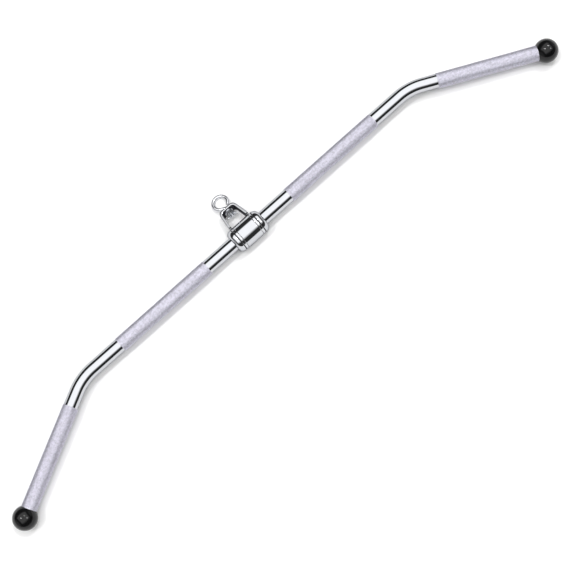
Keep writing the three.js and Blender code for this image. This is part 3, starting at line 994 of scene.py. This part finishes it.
def studio_floor():
    """A wide pale floor. The camera and the metal see it a little lifted, so that only shadows are grey."""
    shader = Shader("pale_floor", Roughness=1.0, Specular_IOR_Level=0.0, Emission_Color=WHITE)
    shader.feed("Base Color", shader.cloud(shader.noise(scale=3.0, detail=3.0), FLOOR_COLOURS))
    rays = shader.node("ShaderNodeLightPath")
    seen = shader.calculate("MAXIMUM", rays["Is Camera Ray"], rays["Is Glossy Ray"])
    seen = shader.calculate("MAXIMUM", seen, rays["Is Transmission Ray"])
    shader.feed("Emission Strength", shader.calculate("MULTIPLY", seen, FLOOR_LIFT))
    mesh = bpy.data.meshes.new("floor")
    work = bmesh.new()
    bmesh.ops.create_circle(work, cap_ends=True, segments=ROUND_SIDES, radius=FLOOR_RADIUS)
    work.to_mesh(mesh)
    work.free()
    mesh.materials.append(shader.material)
    made = bpy.data.objects.new("floor", mesh)
    bpy.context.scene.collection.objects.link(made)


def studio_sky():
    """A soft white light bank that runs along the bar, in a dark room with grey ends and a pale horizon."""
    world = bpy.data.worlds.new("studio")
    bpy.context.scene.world = world
    world.use_nodes = True
    tree = Tree(world.node_tree)

    def fade(value, shares, first, second):
        """The first level below the first share, the second level above the second share."""
        factor = tree.remap(value, low=0.0, high=1.0, shares=shares, interpolation_type="SMOOTHSTEP")
        inputs = {MIX_FACTOR: factor, **dict(zip(MIX_NUMBERS, (first, second)))}
        return tree.node("ShaderNodeMix", inputs)[MIX_NUMBER_OUT]

    where = tree.node("ShaderNodeTexCoord")["Generated"]
    split = tree.node("ShaderNodeSeparateXYZ", {"Vector": where})
    angle = tree.calculate("ARCTAN2", tree.calculate("MULTIPLY", split["Y"], -1.0), split["Z"])
    turns = tree.calculate("DIVIDE", angle, FULL_TURN)
    ramp = tree.nodes.new("ShaderNodeValToRGB")
    tree.links.new(tree.calculate("ADD", turns, OVERHEAD_SHARE), ramp.inputs["Fac"])
    stops = ramp.color_ramp.elements
    stops.remove(stops[-1])
    for degrees, level in SKY_LEVELS:
        stop = stops.new(math.radians(degrees) / FULL_TURN + OVERHEAD_SHARE)
        share = level / SKY_PEAK
        stop.color = (share, share, share, 1)
    stops.remove(stops[0])
    bank = tree.calculate("MULTIPLY", ramp.outputs["Color"], SKY_PEAK)
    aside = tree.calculate("ABSOLUTE", split["X"], 0.0)
    room = fade(aside, ROOM_END_SHARES, fade(aside, BANK_END_SHARES, bank, SKY_DARK), SKY_GREY)
    sky = tree.nodes["Background"].inputs
    tree.links.new(fade(split["Z"], HORIZON_TOP_SHARES, SKY_HORIZON, room), sky["Strength"])
    sky["Color"].default_value = WHITE


def small_lamps():
    """Three small far lamps, which give the black balls their points of light."""
    for i, (direction, strength) in enumerate(LAMPS):
        light = bpy.data.lights.new(f"lamp_{i}", "SUN")
        light.energy = strength
        light.angle = LAMP_ANGLE
        made = bpy.data.objects.new(f"lamp_{i}", light)
        made.rotation_euler = Vector(direction).to_track_quat("Z", "Y").to_euler()
        bpy.context.scene.collection.objects.link(made)


def camera():
    """The photograph's view: turned about the vertical, looking steeply down, and rolled."""
    level = Vector((math.cos(CAMERA_YAW), -math.sin(CAMERA_YAW), 0))
    flat = math.cos(CAMERA_DROP)
    ahead = Vector((math.sin(CAMERA_YAW) * flat, math.cos(CAMERA_YAW) * flat, -math.sin(CAMERA_DROP)))
    upright = level.cross(ahead)
    right = math.cos(CAMERA_ROLL) * level + math.sin(CAMERA_ROLL) * upright
    up = -math.sin(CAMERA_ROLL) * level + math.cos(CAMERA_ROLL) * upright
    back = CAMERA_DISTANCE * ahead + HUB_RIGHT * right + HUB_UP * up
    data = bpy.data.cameras.new("camera")
    data.sensor_width = SENSOR_WIDTH
    data.lens = FOCAL_LENGTH
    made = bpy.data.objects.new("camera", data)
    facing = Matrix((right, up, -ahead)).transposed().to_4x4()
    made.matrix_world = Matrix.Translation(AXIS_POINT - back * MM) @ facing
    bpy.context.scene.collection.objects.link(made)
    bpy.context.scene.camera = made


hub_side(1, "right")
hub_side(-1, "left")
bar_tube()
hub_barrel()
hanger_bracket()
swivel_washer()
eyebolt()
castle_nut()
split_pin()
# The bushes are hidden inside the hub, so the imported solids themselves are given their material
for bush in ("bush_left", "bush_right"):
    materials = frame["nodes"][bush].data.materials
    materials.clear()
    materials.append(FINISHES["bronze"])

studio_floor()
studio_sky()
small_lamps()
camera()
bpy.context.scene.view_settings.view_transform = "Standard"
